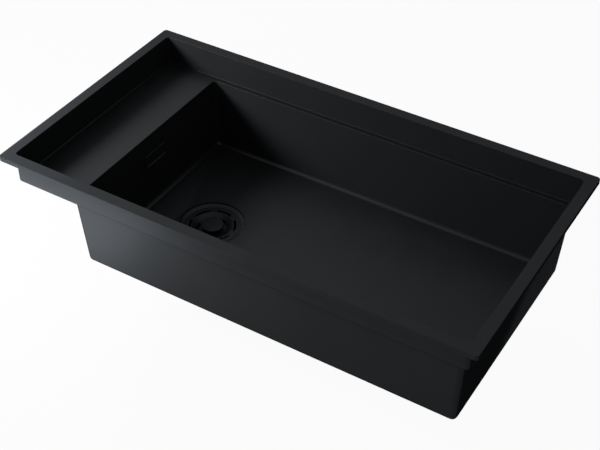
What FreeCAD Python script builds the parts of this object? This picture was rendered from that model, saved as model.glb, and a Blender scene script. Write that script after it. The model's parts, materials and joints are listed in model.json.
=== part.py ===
import FreeCAD, Part
import math
import os
import types

import Sketcher

# A kitchen sink that drops into a worktop: a flat rim with a turned-down lip,
# a shallow tray below it with a shelf on the left, and one deep bowl with a
# basket waste and an overflow. X runs along the front, Y to the back, Z up.
# The origin is the middle of the rim, on the top of the worktop.

os.makedirs("parts", exist_ok=True)
document = FreeCAD.newDocument("kitchen_sink")
TOLERANCE = 1e-3
HALF_TURN = 180

# Every size in millimetres, every angle in degrees.
SIZES = (
    ("rim_length", 850.0, "rim along the front"),
    ("rim_width", 456.0, "rim from front to back"),
    ("rim_border", 19.0, "flat rim between its edge and the tray"),
    ("rim_height", 8.5, "top of the rim above the worktop"),
    ("rim_corner", 6.0, "corner of the rim in plan"),
    ("rim_bend", 1.0, "rounding between rim and lip"),
    ("sheet", 1.5, "sheet of tray and bowl"),
    ("tray_depth", 53.0, "top of the rim down to the shelf"),
    ("tray_corner", 6.0, "corner of the tray in plan, inside"),
    ("tray_bend", 1.2, "rounding at the foot of the tray wall"),
    ("mouth_bend", 0.6, "rounding from the rim into the tray"),
    ("shelf_length", 107.5, "shelf on the left of the bowl"),
    ("ledge_width", 9.5, "ledge in front, behind and right of the bowl"),
    ("ledge_bend", 1.0, "rounding from the shelf into the bowl"),
    ("neck_drop", 6.0, "shelf down to the weld of the bowl"),
    ("neck_bend", 1.0, "rounding under the shelf"),
    ("bowl_depth", 188.0, "top of the rim down to the floor at the walls"),
    ("bowl_draft", 3.0, "slope of the bowl's walls"),
    ("bowl_corner", 8.0, "upright corner of the bowl, inside"),
    ("bowl_bend", 8.0, "rounding between wall and floor, inside"),
    ("floor_fall", 7.0, "fall of the floor to the drain"),
    ("fall_margin", 10.0, "wall down to the start of the fall"),
    ("fall_corner", 4.0, "corner of the floor where the fall starts"),
    ("fall_reach", 62.0, "middle of the drain out to the end of the fall"),
    ("drain_inset", 125.5, "left edge of the opening to the middle of the drain"),
    ("recess_radius", 57.5, "recess of the drain"),
    ("recess_depth", 7.9, "depth of the recess below the floor"),
    ("recess_hole", 46.0, "hole through the recess, radius"),
    ("seal_inset", 2.0, "edge of the rim in to the foam strip"),
    ("seal_width", 9.0, "foam strip, width"),
    ("damping_thickness", 2.5, "rubber layer under the floor"),
    ("damping_glue", 0.3, "glue between the floor and the rubber layer"),
    ("damping_edge", 12.0, "edge of the fall in to the rubber layer"),
    ("damping_hole", 66.0, "hole of the rubber layer, radius"),
    ("ring_drop", 1.5, "floor at the drain down to the ring of the flange"),
    ("flange_radius", 57.0, "drain flange, radius"),
    ("flange_sheet", 1.2, "sheet of the flange"),
    ("flange_round", 0.6, "rounding on the edge of the flange"),
    ("dish_fall", 3.2, "fall of the ring to the basket"),
    ("basket_radius", 49.6, "basket, radius"),
    ("basket_play", 0.4, "play round the basket"),
    ("basket_sheet", 1.0, "sheet of the basket"),
    ("basket_flat", 35.5, "inner radius of the basket's flat rim"),
    ("basket_foot", 24.0, "radius of the basket's floor"),
    ("basket_depth", 12.5, "ring of the flange down to the basket's floor"),
    ("basket_round", 0.8, "rounding on the bends of the basket"),
    ("rim_slot_radius", 39.9, "middle line of the six slots in the rim"),
    ("rim_slot_width", 4.0, "slot in the basket's rim, width"),
    ("rim_slot_span", 35.0, "slot in the basket's rim, between end centres"),
    ("rim_slot_turn", 30.0, "middle of the first slot in the rim"),
    ("cone_slot_radius", 26.6, "middle line of the six slots in the cone"),
    ("cone_slot_width", 3.0, "slot in the basket's cone, width"),
    ("cone_slot_span", 28.0, "slot in the basket's cone, between end centres"),
    ("cone_slot_turn", 20.0, "middle of the first slot in the cone"),
    ("well_radius", 43.5, "well below the basket, radius"),
    ("well_depth", 28.2, "ring of the flange down to the stopper's seat"),
    ("seat_radius", 28.0, "inner radius of the stopper's seat"),
    ("spider_radius", 26.0, "sunk middle of the well, radius"),
    ("spider_drop", 4.0, "seat down to the sunk middle"),
    ("outlet_middle", 16.0, "middle line of the four openings in the well"),
    ("outlet_width", 12.0, "opening in the well, width"),
    ("outlet_span", 34.0, "opening in the well, between end centres"),
    ("screw_play", 0.3, "play round the clamp screw in the well"),
    ("bush_neck", 6.0, "neck of the bush, radius"),
    ("bush_collar", 8.0, "collars of the bush, radius"),
    ("bush_above", 2.5, "bush above the basket's floor"),
    ("bush_below", 2.0, "bush below the basket"),
    ("stem_radius", 4.0, "stem of the stopper"),
    ("stem_play", 0.05, "play round the stem in its bush"),
    ("knob_radius", 19.7, "knob, radius"),
    ("knob_thickness", 3.0, "disc of the knob"),
    ("knob_round", 0.9, "rounding on the knob"),
    ("knob_hub", 7.0, "hub under the knob, radius"),
    ("knob_lift", 1.0, "bush up to the hub when the stopper is down"),
    ("knob_cover", 1.5, "metal of the knob over the stem"),
    ("stopper_radius", 33.0, "rubber disc, radius"),
    ("stopper_thickness", 4.0, "rubber disc, thickness"),
    ("plate_radius", 14.0, "plate on the rubber disc, radius"),
    ("plate_thickness", 1.0, "plate on the rubber disc, thickness"),
    ("rivet_neck", 3.0, "stem through the rubber disc, radius"),
    ("rivet_radius", 6.0, "head below the rubber disc, radius"),
    ("rivet_height", 1.5, "head below the rubber disc, height"),
    ("rivet_recess", 8.0, "recess in the rubber disc, radius"),
    ("rivet_depth", 2.0, "recess in the rubber disc, depth"),
    ("gasket_inner", 46.5, "gasket under the flange, inner radius"),
    ("gasket_outer", 55.5, "gasket under the flange, outer radius"),
    ("gasket_thickness", 1.0, "gasket under the flange, thickness"),
    ("washer_inner", 49.0, "gasket over the waste body, inner radius"),
    ("washer_outer", 59.0, "gasket over the waste body, outer radius"),
    ("washer_thickness", 3.0, "gasket over the waste body, thickness"),
    ("waste_flange", 60.0, "flange of the waste body, radius"),
    ("waste_wall", 3.0, "wall of the waste body"),
    ("waste_cup", 48.0, "cup of the waste body, inner radius"),
    ("waste_cup_depth", 36.0, "ring of the flange down to the funnel"),
    ("waste_funnel_depth", 52.0, "ring of the flange down to the tube"),
    ("waste_end", 95.0, "ring of the flange down to the tube's end"),
    ("outlet_radius", 23.9, "outlet tube, outside"),
    ("outlet_length", 30.0, "outlet tube, plain length"),
    ("outlet_collar", 27.0, "collar above the outlet tube, radius"),
    ("outlet_collar_height", 7.0, "collar above the outlet tube"),
    ("boss_radius", 9.0, "boss in the waste body"),
    ("boss_gap", 0.6, "boss below the flange"),
    ("boss_length", 22.0, "boss in the waste body"),
    ("rib_thickness", 3.0, "ribs that carry the boss"),
    ("insert_radius", 6.5, "brass insert, radius"),
    ("insert_length", 14.0, "brass insert, length"),
    ("clamp_radius", 4.0, "clamp screw, shank"),
    ("clamp_head", 7.5, "clamp screw, head radius"),
    ("clamp_head_height", 3.0, "clamp screw, head height"),
    ("clamp_length", 14.8, "clamp screw, shank length"),
    ("clamp_slot", 1.6, "slot in the head, width and depth"),
    ("inlet_drop", 25.5, "ring of the flange down to the side inlet"),
    ("inlet_start", 49.5, "side inlet, start from the drain's middle"),
    ("inlet_end", 72.0, "side inlet, end from the drain's middle"),
    ("pipe_radius", 10.5, "overflow pipe, outside"),
    ("pipe_wall", 2.0, "overflow pipe, wall"),
    ("pipe_play", 0.2, "play round the pipe"),
    ("pipe_entry", 14.0, "pipe inside a spigot"),
    ("pipe_bend", 30.0, "bend of the pipe, on its middle line"),
    ("thread_radius", 13.0, "thread of both spigots"),
    ("nut_cover", 10.0, "nut over the spigot"),
    ("nut_wall", 3.5, "wall of the nut"),
    ("nut_end", 2.5, "end wall of the nut"),
    ("nut_rib", 1.5, "ribs on the nut, height"),
    ("nut_rib_width", 4.0, "ribs on the nut, width"),
    ("nut_seal", 3.0, "rubber ring in the nut, thickness"),
    ("overflow_y", 7.0, "middle of the overflow behind the middle line"),
    ("overflow_drop", 45.0, "shelf down to the middle of the overflow"),
    ("slot_length", 30.0, "overflow opening in the bowl's wall"),
    ("slot_height", 16.0, "overflow opening in the bowl's wall"),
    ("slot_corner", 6.0, "corner of the overflow opening"),
    ("wall_reach", 8.0, "cut through the bowl's wall, to either side"),
    ("fixing_spacing", 44.0, "between the two fixings of the cover"),
    ("fixing_radius", 2.0, "overflow screw"),
    ("fixing_play", 0.4, "play round an overflow screw"),
    ("fixing_head", 3.5, "overflow screw, head radius"),
    ("fixing_head_height", 2.4, "overflow screw, head height"),
    ("fixing_grip", 2.6, "overflow screw inside the cover's post"),
    ("cover_length", 58.0, "overflow cover"),
    ("cover_height", 25.0, "overflow cover"),
    ("cover_corner", 3.0, "corner of the overflow cover"),
    ("cover_thickness", 2.4, "overflow cover"),
    ("cover_round", 1.0, "rounding on the edge of the cover"),
    ("cover_frame", 2.4, "raised frame of the cover, width"),
    ("cover_dish", 0.9, "depth of the cover inside its frame"),
    ("cover_slope", 40.0, "slope of the frame towards the dish"),
    ("cover_gap", 2.0, "wall to the back of the cover"),
    ("post_radius", 4.0, "posts behind the cover"),
    ("box_length", 60.0, "flange of the overflow housing"),
    ("box_height", 38.0, "flange of the overflow housing"),
    ("box_corner", 8.0, "corner of the housing's flange"),
    ("box_flange", 3.0, "thickness of the housing's flange"),
    ("box_gasket", 2.0, "gasket behind the wall"),
    ("chamber_length", 30.0, "inside of the housing, along the wall"),
    ("chamber_height", 24.0, "inside of the housing, up the wall"),
    ("chamber_drop", 1.0, "middle of the chamber below the opening"),
    ("chamber_depth", 31.5, "inside of the housing, from the gasket"),
    ("chamber_wall", 2.5, "wall of the housing"),
    ("chamber_corner", 4.0, "corner of the chamber"),
    ("spigot_back", 22.0, "wall to the middle of the housing's spigot"),
    ("spigot_length", 18.0, "housing's spigot, from inside its floor"),
)

sheet = document.addObject("Spreadsheet::Sheet", "Sizes")


class Size:
    """A number together with the formula that finds it from the sheet."""

    def __init__(self, formula, number):
        self.formula = formula
        self.number = float(number)

    def __add__(self, other):
        other = as_size(other)
        formula = "(%s + %s)" % (self.formula, other.formula)
        return Size(formula, self.number + other.number)

    def __radd__(self, other):
        return as_size(other) + self

    def __sub__(self, other):
        other = as_size(other)
        formula = "(%s - %s)" % (self.formula, other.formula)
        return Size(formula, self.number - other.number)

    def __rsub__(self, other):
        return as_size(other) - self

    def __mul__(self, other):
        other = as_size(other)
        formula = "(%s * %s)" % (self.formula, other.formula)
        return Size(formula, self.number * other.number)

    def __rmul__(self, other):
        return as_size(other) * self

    def __truediv__(self, other):
        other = as_size(other)
        formula = "(%s / %s)" % (self.formula, other.formula)
        return Size(formula, self.number / other.number)

    def __neg__(self):
        return as_size(0) - self


def as_size(value):
    if isinstance(value, Size):
        return value
    return Size(repr(float(value)), value)


def tangent(angle):
    number = math.tan(math.radians(angle.number))
    return Size("tan(%s)" % angle.formula, number)


def sine(angle):
    number = math.sin(math.radians(angle.number))
    return Size("sin(%s)" % angle.formula, number)


def cosine(angle):
    number = math.cos(math.radians(angle.number))
    return Size("cos(%s)" % angle.formula, number)


def arc_tangent(ratio):
    number = math.degrees(math.atan(ratio.number))
    return Size("atan(%s)" % ratio.formula, number)


def write_sizes(rows):
    """Fill the sheet and hand back one Size for each row."""
    named = {}
    for row, (alias, number, meaning) in enumerate(rows, start=1):
        sheet.set("A%d" % row, meaning)
        sheet.set("B%d" % row, str(number))
        sheet.setAlias("B%d" % row, alias)
        named[alias] = Size("Sizes.%s" % alias, number)
    document.recompute()
    return types.SimpleNamespace(**named)


size = write_sizes(SIZES)


# Levels above the worktop, and places along X, that several pieces share.
rim_underside = size.rim_height - size.sheet
shelf_level = size.rim_height - size.tray_depth
shelf_underside = shelf_level - size.sheet
seam_level = shelf_level - size.neck_drop
floor_level = size.rim_height - size.bowl_depth
drain_level = floor_level - size.floor_fall
ring_level = drain_level - size.ring_drop
tray_length = size.rim_length - 2 * size.rim_border
tray_width = size.rim_width - 2 * size.rim_border
opening_length = tray_length - size.shelf_length - size.ledge_width
opening_width = tray_width - 2 * size.ledge_width
opening_middle = (size.shelf_length - size.ledge_width) / 2
opening_left = opening_middle - opening_length / 2
drain_x = opening_left + size.drain_inset
overflow_z = shelf_level - size.overflow_drop
slope = tangent(size.bowl_draft)


def bind(thing, path, value):
    thing.setExpression(path, as_size(value).formula)


def new_body(name):
    body = document.addObject("PartDesign::Body", name)
    body.Label = name
    return body


def origin_plane(body, role):
    for feature in body.Origin.OriginFeatures:
        if feature.Role == role:
            return feature
    raise ValueError(role)


def new_sketch(body, name, plane, place=(0, 0, 0), tilt_axis=None, tilt=None):
    """A sketch on an origin plane, moved by place and tilted if asked."""
    sketch = body.newObject("Sketcher::SketchObject", name)
    sketch.AttachmentSupport = [(origin_plane(body, plane), "")]
    sketch.MapMode = "FlatFace"
    place = [as_size(value) for value in place]
    rotation = FreeCAD.Rotation()
    if tilt is not None:
        rotation = FreeCAD.Rotation(tilt_axis, tilt.number)
    base = FreeCAD.Vector(*[value.number for value in place])
    sketch.AttachmentOffset = FreeCAD.Placement(base, rotation)
    for axis, value in zip("xyz", place):
        if value.number:
            bind(sketch, "AttachmentOffset.Base." + axis, value)
    if tilt is not None:
        bind(sketch, "AttachmentOffset.Rotation.Angle", tilt)
    return sketch


def constrain(sketch, kind, *where, value=None):
    """Add a constraint; one with a value takes it from the sheet."""
    if value is None:
        sketch.addConstraint(Sketcher.Constraint(kind, *where))
        return
    number = value.number
    if kind == "Angle":
        number = math.radians(number)
    index = sketch.addConstraint(Sketcher.Constraint(kind, *where, number))
    name = "%s_%d" % (kind.lower(), index)
    sketch.renameConstraint(index, name)
    bind(sketch, "Constraints." + name, value)


def fix_point(sketch, geometry, point, x, y):
    """Hold a point of the sketch at x, y from the sketch's origin."""
    for value, kind, line in ((x, "DistanceX", -2), (y, "DistanceY", -1)):
        if value.number:
            constrain(sketch, kind, -1, 1, geometry, point, value=value)
        else:
            constrain(sketch, "PointOnObject", geometry, point, line)


def line(sketch, start, end):
    first = FreeCAD.Vector(start[0], start[1], 0)
    last = FreeCAD.Vector(end[0], end[1], 0)
    return sketch.addGeometry(Part.LineSegment(first, last), False)


def arc(sketch, middle, radius, start, end):
    """An arc from start to end, in degrees, counter-clockwise."""
    centre = FreeCAD.Vector(middle[0], middle[1], 0)
    circle = Part.Circle(centre, FreeCAD.Vector(0, 0, 1), radius)
    shape = Part.ArcOfCircle(circle, math.radians(start), math.radians(end))
    return sketch.addGeometry(shape, False)


def draw_circle(sketch, radius, x=0, y=0):
    radius, x, y = as_size(radius), as_size(x), as_size(y)
    centre = FreeCAD.Vector(x.number, y.number, 0)
    shape = Part.Circle(centre, FreeCAD.Vector(0, 0, 1), radius.number)
    index = sketch.addGeometry(shape, False)
    constrain(sketch, "Radius", index, value=radius)
    fix_point(sketch, index, 3, x, y)


def draw_rectangle(sketch, length, width, x=0, y=0):
    """A rectangle with sharp corners, its middle at x, y."""
    length, width = as_size(length), as_size(width)
    x, y = as_size(x), as_size(y)
    left = x.number - length.number / 2
    right = x.number + length.number / 2
    low = y.number - width.number / 2
    high = y.number + width.number / 2
    corners = ((left, low), (right, low), (right, high), (left, high))
    lines = [line(sketch, corners[i], corners[(i + 1) % 4]) for i in range(4)]
    for i in range(4):
        constrain(sketch, "Coincident", lines[i], 2, lines[(i + 1) % 4], 1)
    for i in (0, 2):
        constrain(sketch, "Horizontal", lines[i])
        constrain(sketch, "Vertical", lines[i + 1])
    constrain(sketch, "DistanceX", lines[0], 1, lines[0], 2, value=length)
    constrain(sketch, "DistanceY", lines[1], 1, lines[1], 2, value=width)
    fix_point(sketch, lines[2], 1, x + length / 2, y + width / 2)


def draw_rounded(sketch, length, width, corner, x=0, y=0):
    """A rectangle with rounded corners, its middle at x, y."""
    length, width, corner = as_size(length), as_size(width), as_size(corner)
    x, y = as_size(x), as_size(y)
    radius = corner.number
    left = x.number - length.number / 2
    right = x.number + length.number / 2
    low = y.number - width.number / 2
    high = y.number + width.number / 2
    pieces = [
        line(sketch, (left + radius, low), (right - radius, low)),
        arc(sketch, (right - radius, low + radius), radius, -90, 0),
        line(sketch, (right, low + radius), (right, high - radius)),
        arc(sketch, (right - radius, high - radius), radius, 0, 90),
        line(sketch, (right - radius, high), (left + radius, high)),
        arc(sketch, (left + radius, high - radius), radius, 90, 180),
        line(sketch, (left, high - radius), (left, low + radius)),
        arc(sketch, (left + radius, low + radius), radius, 180, 270),
    ]
    for i in range(8):
        constrain(sketch, "Tangent", pieces[i], 2, pieces[(i + 1) % 8], 1)
    for i in (0, 4):
        constrain(sketch, "Horizontal", pieces[i])
        constrain(sketch, "Vertical", pieces[i + 2])
    for i in (3, 5, 7):
        constrain(sketch, "Equal", pieces[1], pieces[i])
    constrain(sketch, "Radius", pieces[1], value=corner)
    constrain(sketch, "DistanceX", pieces[6], 1, pieces[2], 1, value=length)
    constrain(sketch, "DistanceY", pieces[0], 1, pieces[4], 1, value=width)
    constrain(sketch, "DistanceX", -1, 1, pieces[2], 1, value=x + length / 2)
    constrain(sketch, "DistanceY", -1, 1, pieces[4], 1, value=y + width / 2)


def draw_outline(sketch, points):
    """A closed outline of straight lines through the points."""
    points = [(as_size(x), as_size(y)) for x, y in points]
    count = len(points)
    lines = []
    for i in range(count):
        start, end = points[i], points[(i + 1) % count]
        numbers = (start[0].number, start[1].number), (end[0].number, end[1].number)
        lines.append(line(sketch, *numbers))
    for i in range(count):
        constrain(sketch, "Coincident", lines[i], 2, lines[(i + 1) % count], 1)
        fix_point(sketch, lines[i], 1, *points[i])


def draw_arc_slot(sketch, radius, width, span, turn):
    """A slot along an arc round the origin, with round ends."""
    start = turn.number - span.number / 2
    end = turn.number + span.number / 2
    inner = radius - width / 2
    outer = radius + width / 2
    ends = []
    for angle in (start, end):
        x = radius.number * math.cos(math.radians(angle))
        y = radius.number * math.sin(math.radians(angle))
        ends.append((x, y))
    far = arc(sketch, (0, 0), outer.number, start, end)
    near = arc(sketch, (0, 0), inner.number, start, end)
    last = arc(sketch, ends[1], width.number / 2, end, end + HALF_TURN)
    first = arc(sketch, ends[0], width.number / 2, start - HALF_TURN, start)
    for piece in (far, near):
        constrain(sketch, "Coincident", piece, 3, -1, 1)
    constrain(sketch, "Tangent", far, 2, last, 1)
    constrain(sketch, "Tangent", last, 2, near, 2)
    constrain(sketch, "Tangent", near, 1, first, 1)
    constrain(sketch, "Tangent", first, 2, far, 1)
    constrain(sketch, "Radius", far, value=outer)
    constrain(sketch, "Radius", near, value=inner)
    half = span / 2
    for cap, middle, angle in ((last, ends[1], turn + half), (first, ends[0], turn - half)):
        spoke = line(sketch, (0, 0), middle)
        sketch.toggleConstruction(spoke)
        constrain(sketch, "Coincident", spoke, 1, -1, 1)
        constrain(sketch, "Coincident", spoke, 2, cap, 3)
        constrain(sketch, "Angle", spoke, value=angle)


def finish_feature(body, feature, before, grows):
    """Recompute and make sure that the feature did what it was for."""
    document.recompute()
    if feature.Shape.isNull() or not feature.Shape.isValid():
        raise ValueError("%s of %s has no valid shape" % (feature.Label, body.Label))
    change = feature.Shape.Volume - before
    if abs(change) < TOLERANCE or (change > 0) != grows:
        raise ValueError("%s of %s changed %g" % (feature.Label, body.Label, change))
    return feature


def volume_so_far(body):
    return body.Tip.Shape.Volume if body.Tip else 0.0


def pad(body, name, sketch, length, down=False, taper=None, both=False):
    """Material along the sketch's normal, or against it if down."""
    before = volume_so_far(body)
    feature = body.newObject("PartDesign::Pad", name)
    feature.Profile = sketch
    feature.Reversed = down
    if both:
        feature.SideType = "Symmetric"
    bind(feature, "Length", length)
    if taper is not None:
        bind(feature, "TaperAngle", taper)
    return finish_feature(body, feature, before, True)


def pocket(body, name, sketch, length, up=False, taper=None):
    """A hollow against the sketch's normal, or along it if up."""
    before = volume_so_far(body)
    feature = body.newObject("PartDesign::Pocket", name)
    feature.Profile = sketch
    feature.Reversed = up
    bind(feature, "Length", length)
    if taper is not None:
        bind(feature, "TaperAngle", taper)
    return finish_feature(body, feature, before, False)


def revolve(body, name, sketch, axis="V_Axis"):
    before = volume_so_far(body)
    feature = body.newObject("PartDesign::Revolution", name)
    feature.Profile = sketch
    feature.ReferenceAxis = (sketch, [axis])
    return finish_feature(body, feature, before, True)


def loft(body, kind, name, first, second):
    """A ruled form between two outlines, added or taken away."""
    before = volume_so_far(body)
    feature = body.newObject(kind, name)
    feature.Profile = first
    feature.Sections = [(second, [""])]
    feature.Ruled = True
    return finish_feature(body, feature, before, kind == "PartDesign::AdditiveLoft")


def repeat_around(body, name, feature, count, axis_sketch, grows):
    """Copies of one feature round the sketch's normal at its origin."""
    before = volume_so_far(body)
    pattern = body.newObject("PartDesign::PolarPattern", name)
    pattern.Originals = [feature]
    pattern.Axis = (axis_sketch, ["N_Axis"])
    pattern.Angle = 360
    pattern.Occurrences = count
    body.Tip = pattern
    return finish_feature(body, pattern, before, grows)


def fillet(body, name, radius, chosen):
    """Round every edge of the body for which chosen says yes."""
    base = body.Tip
    edges = base.Shape.Edges
    names = ["Edge%d" % (i + 1) for i, edge in enumerate(edges) if chosen(edge)]
    if not names:
        raise ValueError("%s of %s finds no edge" % (name, body.Label))
    feature = body.newObject("PartDesign::Fillet", name)
    feature.Base = (base, names)
    bind(feature, "Radius", radius)
    document.recompute()
    if feature.Shape.isNull() or not feature.Shape.isValid():
        raise ValueError("%s of %s has no valid shape" % (name, body.Label))
    return feature


def spans(low, high, length=None, width=None, x=0.0):
    """Chooser for edges from low to high, inside a rectangle if given."""
    low, high = as_size(low).number, as_size(high).number

    def chosen(edge):
        box = edge.BoundBox
        fits = abs(box.ZMin - low) < TOLERANCE and abs(box.ZMax - high) < TOLERANCE
        if length is None or not fits:
            return fits
        reach_x = max(abs(box.XMin - x), abs(box.XMax - x))
        reach_y = max(abs(box.YMin), abs(box.YMax))
        return reach_x < length.number / 2 and reach_y < width.number / 2

    return chosen


def ring_at(radius, level):
    """Chooser for a circle round the body's own Z axis."""
    radius, level = as_size(radius).number, as_size(level).number

    def chosen(edge):
        box = edge.BoundBox
        flat = abs(box.ZMin - level) < TOLERANCE and abs(box.ZMax - level) < TOLERANCE
        return flat and abs(box.XLength / 2 - radius) < TOLERANCE

    return chosen


# Rim and tray: one pressing. The rim is a block hollowed from below, the tray
# hangs from it, and the neck goes down from the shelf to the weld.
def make_rim_tray():
    body = new_body("rim_tray")
    sketch = new_sketch(body, "RimOutline", "XY_Plane")
    draw_rounded(sketch, size.rim_length, size.rim_width, size.rim_corner)
    pad(body, "Rim", sketch, size.rim_height)
    fillet(body, "RimBend", size.rim_bend, spans(size.rim_height, size.rim_height))

    sketch = new_sketch(body, "LipInside", "XY_Plane")
    inside = 2 * size.sheet
    draw_rounded(sketch, size.rim_length - inside, size.rim_width - inside,
                 size.rim_corner - size.sheet)
    pocket(body, "UnderRim", sketch, rim_underside, up=True)

    sketch = new_sketch(body, "TrayOutside", "XY_Plane", (0, 0, rim_underside))
    draw_rounded(sketch, tray_length + inside, tray_width + inside,
                 size.tray_corner + size.sheet)
    pad(body, "Tray", sketch, rim_underside - shelf_underside, down=True)
    fillet(body, "TrayBendOutside", size.tray_bend + size.sheet,
           spans(shelf_underside, shelf_underside))

    sketch = new_sketch(body, "NeckOutside", "XY_Plane", (0, 0, shelf_level))
    draw_rectangle(sketch, opening_length + inside, opening_width + inside, opening_middle)
    pad(body, "Neck", sketch, size.neck_drop, down=True, taper=-size.bowl_draft)

    sketch = new_sketch(body, "TrayInside", "XY_Plane", (0, 0, size.rim_height))
    draw_rounded(sketch, tray_length, tray_width, size.tray_corner)
    pocket(body, "TrayHollow", sketch, size.tray_depth)
    fillet(body, "TrayBend", size.tray_bend, spans(shelf_level, shelf_level))
    fillet(body, "MouthBend", size.mouth_bend,
           spans(size.rim_height, size.rim_height, tray_length + 1, tray_width + 1))

    sketch = new_sketch(body, "Opening", "XY_Plane", (0, 0, shelf_level))
    draw_rectangle(sketch, opening_length, opening_width, opening_middle)
    pocket(body, "NeckHollow", sketch, size.neck_drop, taper=-size.bowl_draft)
    fillet(body, "OpeningCorners", size.bowl_corner,
           spans(seam_level, shelf_level, opening_length + 1, opening_width + 1,
                 opening_middle.number))
    fillet(body, "NeckCorners", size.bowl_corner + size.sheet,
           spans(seam_level, shelf_underside))
    fillet(body, "LedgeBend", size.ledge_bend,
           spans(shelf_level, shelf_level, opening_length + 1, opening_width + 1,
                 opening_middle.number))
    fillet(body, "NeckBend", size.neck_bend,
           spans(shelf_underside, shelf_underside, opening_length + inside + 1,
                 opening_width + inside + 1, opening_middle.number))
    return body


def fall_sketches(body, name, lower):
    """Outlines of the fall: at the walls, and round the drain."""
    start_length = opening_length - 2 * (slope * (shelf_level - floor_level) + size.fall_margin)
    start_width = opening_width - 2 * (slope * (shelf_level - floor_level) + size.fall_margin)
    top = new_sketch(body, name + "Start", "XY_Plane", (opening_middle, 0, floor_level - lower))
    draw_rounded(top, start_length, start_width, size.fall_corner)
    end = new_sketch(body, name + "End", "XY_Plane", (drain_x, 0, drain_level - lower))
    draw_rounded(end, 2 * size.fall_reach, 2 * size.fall_reach, size.recess_radius)
    return top, end


# Bowl: drafted walls, one size of rounding all the way round the floor, and a
# floor that falls from all four walls to the recess of the drain. The inside is
# rounded before the outside, so that the sheet is never cut through.
def make_bowl():
    body = new_body("bowl")
    seam_inset = 2 * slope * size.neck_drop
    seam_length = opening_length - seam_inset
    seam_width = opening_width - seam_inset
    underside = floor_level - size.sheet
    outside = 2 * size.sheet

    sketch = new_sketch(body, "OutsideAtSeam", "XY_Plane", (opening_middle, 0, seam_level))
    draw_rectangle(sketch, seam_length + outside, seam_width + outside)
    pad(body, "Outside", sketch, seam_level - underside, down=True, taper=-size.bowl_draft)
    sketch = new_sketch(body, "InsideAtSeam", "XY_Plane", (opening_middle, 0, seam_level))
    draw_rectangle(sketch, seam_length, seam_width)
    pocket(body, "Inside", sketch, seam_level - floor_level, taper=-size.bowl_draft)
    fillet(body, "CornersInside", size.bowl_corner,
           spans(floor_level, seam_level))
    fillet(body, "BendInside", size.bowl_bend, spans(floor_level, floor_level))
    fillet(body, "CornersOutside", size.bowl_corner + size.sheet, spans(underside, seam_level))
    fillet(body, "BendOutside", size.bowl_bend + size.sheet, spans(underside, underside))
    loft(body, "PartDesign::AdditiveLoft", "FallOutside",
         *fall_sketches(body, "FallOutside", size.sheet))
    sketch = new_sketch(body, "RecessOutside", "XY_Plane", (drain_x, 0, drain_level))
    draw_circle(sketch, size.recess_radius + size.sheet)
    pad(body, "RecessCup", sketch, size.recess_depth + size.sheet, down=True)

    loft(body, "PartDesign::SubtractiveLoft", "FallInside",
         *fall_sketches(body, "FallInside", 0))
    sketch = new_sketch(body, "RecessInside", "XY_Plane", (drain_x, 0, drain_level))
    draw_circle(sketch, size.recess_radius)
    pocket(body, "Recess", sketch, size.recess_depth)
    sketch = new_sketch(body, "DrainHole", "XY_Plane", (drain_x, 0, drain_level))
    draw_circle(sketch, size.recess_hole)
    pocket(body, "DrainOpening", sketch, size.recess_depth + 2 * size.sheet)

    sketch = new_sketch(body, "OverflowHoles", "YZ_Plane",
                        (size.overflow_y, overflow_z, opening_left + size.wall_reach))
    draw_rounded(sketch, size.slot_length, size.slot_height, size.slot_corner)
    for side in (-1, 1):
        draw_circle(sketch, size.fixing_radius + size.fixing_play, side * size.fixing_spacing / 2)
    pocket(body, "OverflowOpening", sketch, 2 * size.wall_reach)
    return body


# Foam strip inside the lip; it lies on the worktop all round the cut-out.
def make_rim_seal():
    body = new_body("rim_seal")
    sketch = new_sketch(body, "Strip", "XY_Plane")
    outer_length = size.rim_length - 2 * size.seal_inset
    outer_width = size.rim_width - 2 * size.seal_inset
    corner = size.rim_corner - size.seal_inset
    draw_rounded(sketch, outer_length, outer_width, corner)
    inner_length = outer_length - 2 * size.seal_width
    inner_width = outer_width - 2 * size.seal_width
    draw_rounded(sketch, inner_length, inner_width, corner / 2)
    pad(body, "Foam", sketch, rim_underside)
    return body


# Rubber layer glued under the floor: a block with the floor's own form taken
# out of its top and the same form, lower, left at its underside.
def make_sound_pad():
    body = new_body("sound_pad")
    upper = size.sheet + size.damping_glue
    lower = upper + size.damping_thickness
    top = floor_level - upper
    start, end = fall_sketches(body, "Under", lower)
    slab = new_sketch(body, "Slab", "XY_Plane", (opening_middle, 0, floor_level - lower))
    length = opening_length - 2 * (slope * (shelf_level - floor_level) + size.fall_margin)
    width = opening_width - 2 * (slope * (shelf_level - floor_level) + size.fall_margin)
    draw_rounded(slab, length, width, size.fall_corner)
    pad(body, "Block", slab, 2 * size.damping_thickness)
    loft(body, "PartDesign::AdditiveLoft", "Underside", start, end)
    clear = new_sketch(body, "Above", "XY_Plane",
                       (opening_middle, 0, top + 2 * size.damping_thickness))
    draw_rectangle(clear, opening_length, opening_width)
    pocket(body, "TopCut", clear, 2 * size.damping_thickness)
    loft(body, "PartDesign::SubtractiveLoft", "Topside", *fall_sketches(body, "Top", upper))
    frame = new_sketch(body, "Trim", "XY_Plane", (opening_middle, 0, top))
    draw_rectangle(frame, opening_length, opening_width)
    draw_rounded(frame, length - 2 * size.damping_edge, width - 2 * size.damping_edge,
                 size.fall_corner)
    pocket(body, "Outline", frame, 2 * size.floor_fall)
    hole = new_sketch(body, "RoundDrain", "XY_Plane", (drain_x, 0, top))
    draw_circle(hole, size.damping_hole)
    pocket(body, "DrainOpening", hole, 2 * size.floor_fall)
    return body


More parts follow.
